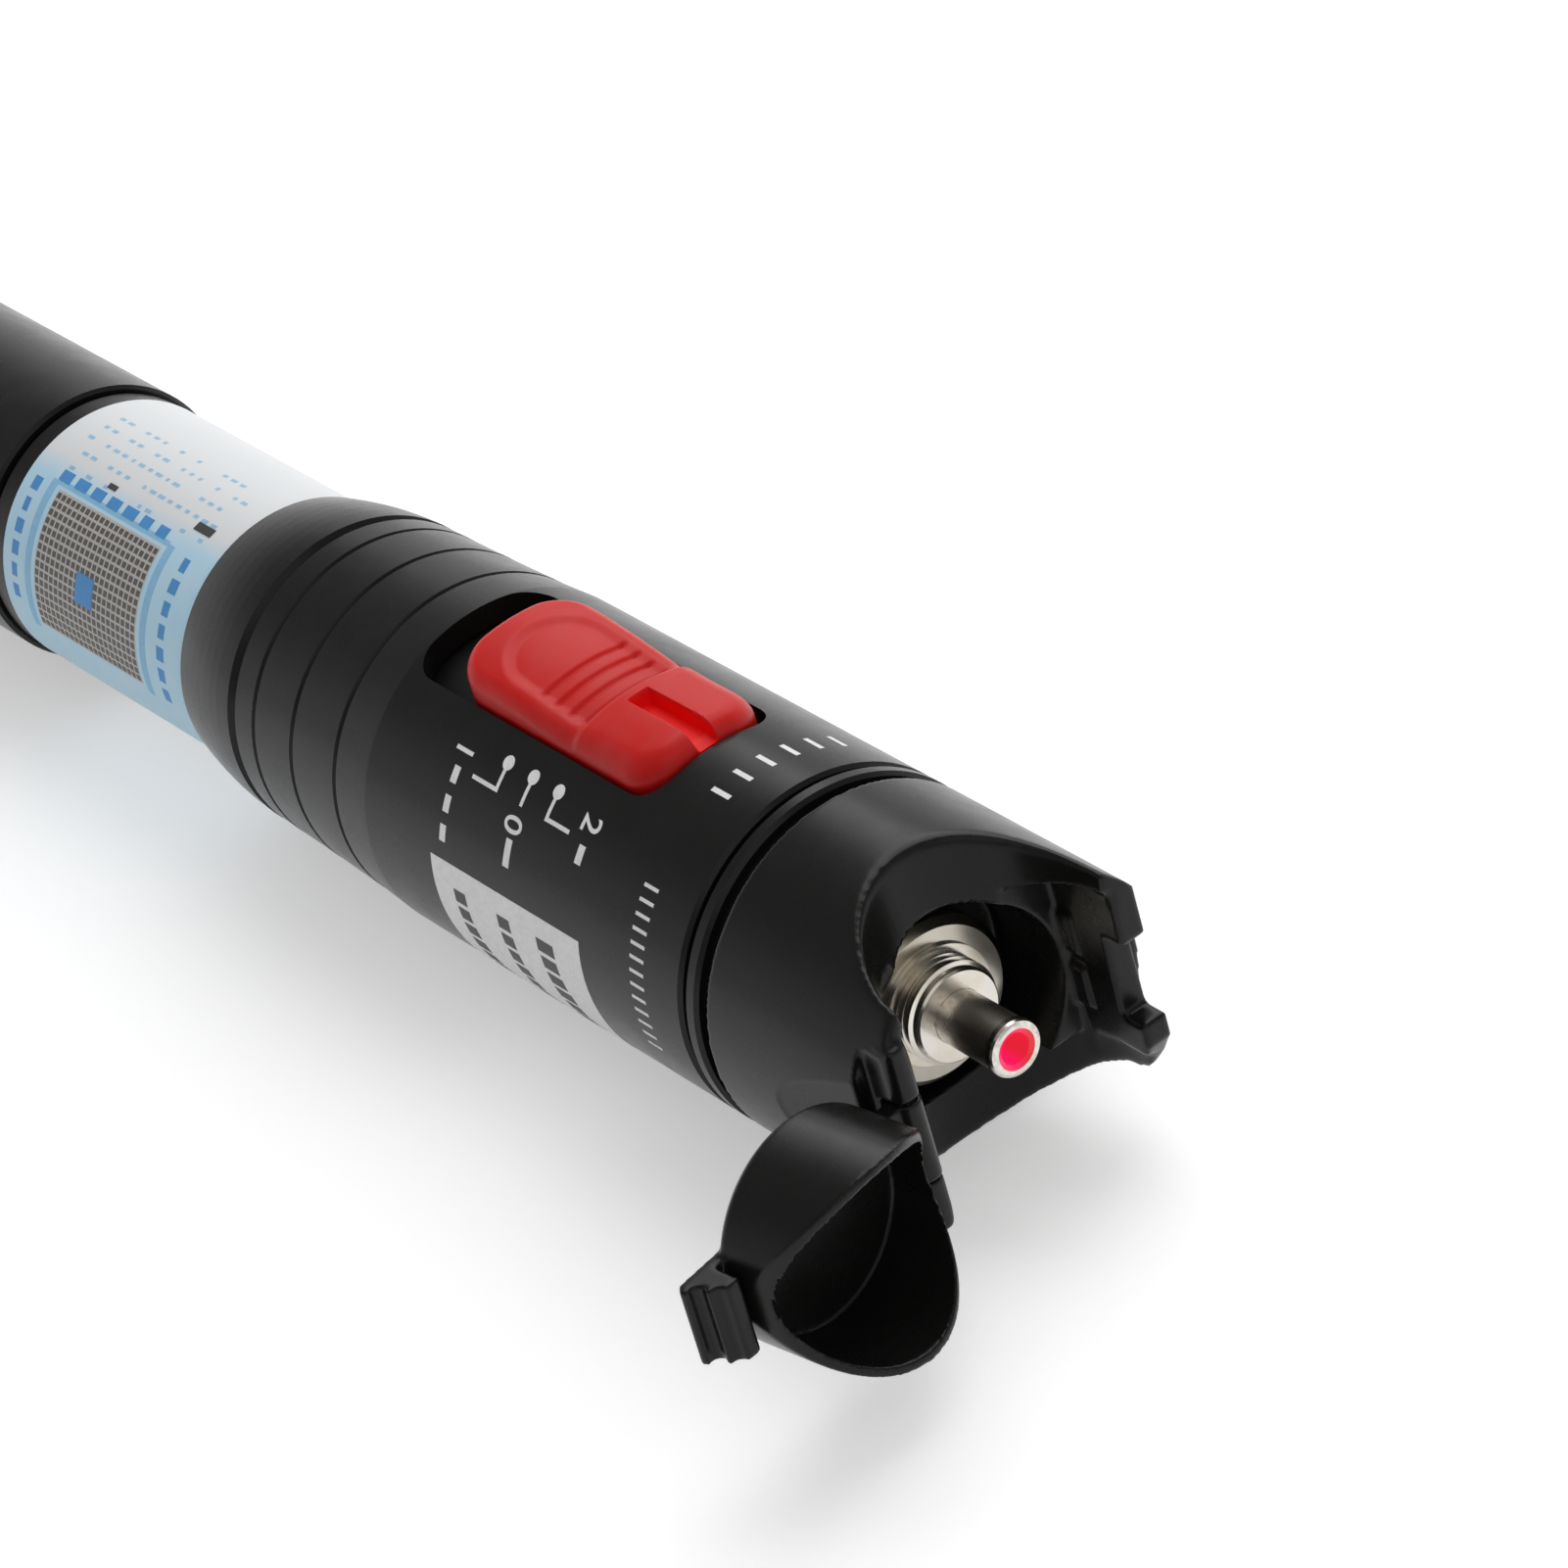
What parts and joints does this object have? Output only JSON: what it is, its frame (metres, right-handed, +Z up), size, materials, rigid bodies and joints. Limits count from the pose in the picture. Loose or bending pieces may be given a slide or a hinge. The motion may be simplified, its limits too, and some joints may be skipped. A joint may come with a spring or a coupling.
{
  "type": "visual fault locator",
  "caption": "Pen-shaped red laser for finding breaks in optical fibre, with a ferrule port under a hinged dust cap, a slide switch and a screw-on battery tail.",
  "frame": {"origin": "centre of the fibre port's mouth, where its straight bore begins", "axes": "+X out of the fibre port along the pen, +Z up through the slider, -Y towards the cap's hinge"},
  "size_m": [0.1936, 0.0473, 0.0301],
  "materials": {
    "black_plastic": "satin",
    "dark_plastic": "matt",
    "red_plastic": "satin",
    "white_plastic": "matt",
    "nickel": "bright nickel plate",
    "brass": "plain",
    "steel": "plain",
    "ceramic": "polished",
    "lens_glass": "polished",
    "board_green": "satin",
    "label_paper": "coated",
    "cell_case": "satin",
    "seal_rubber": "matt"
  },
  "bodies": {
    "pen": {"front_body": "black_plastic", "joint_ring": "black_plastic", "head_hood": "black_plastic", "battery_tube": "black_plastic", "board_rails": "black_plastic", "port_body": "nickel", "ferrule_holder": "nickel", "split_sleeve": "ceramic", "fibre_stub": "ceramic", "port_nut": "brass", "laser_housing": "brass", "laser_diode": "brass", "focus_lens": "lens_glass", "lens_ring": "steel", "laser_seat": "dark_plastic", "hinge_pin": "steel", "switch_case": "steel", "detent_spring": "brass", "circuit_board": "board_green", "board_chips": "dark_plastic", "contact_strip": "steel", "front_contact": "steel", "contact_insulator": "white_plastic", "tube_label": "label_paper", "cell_liner": "white_plastic", "front_cell": "cell_case", "rear_cell": "cell_case", "seal_ring": "seal_rubber"},
    "cap": {"dust_cap": "black_plastic"},
    "slider": {"slider_button": "red_plastic", "slider_shoe": "dark_plastic", "switch_lever": "white_plastic"},
    "tail_carriage": {"tail_spring": "steel"},
    "tail": {"tail_barrel": "black_plastic", "tail_contact": "steel"}
  },
  "joints": [
    {"name": "cap_hinge", "type": "hinge", "parent": "pen", "child": "cap", "pos_m": [0.00179, -0.0106, 0], "axis": [0, 0, -1], "range_deg": [-170, 4]},
    {"name": "slider_slide", "type": "slide", "parent": "pen", "child": "slider", "axis": [1, 0, 0], "range_m": [-0.005, 0]},
    {"name": "tail_travel", "type": "slide", "parent": "pen", "child": "tail_carriage", "axis": [-1, 0, 0], "range_m": [0, 0.008]},
    {"name": "tail_turn", "type": "hinge", "parent": "tail_carriage", "child": "tail", "pos_m": [-0.122, 0, 0], "axis": [-1, 0, 0], "range_deg": [0, 2304]}
  ],
  "couplings": [
    {"joint": "tail_travel", "follows": "tail_turn", "m_per_rad": 0.0001989}
  ]
}
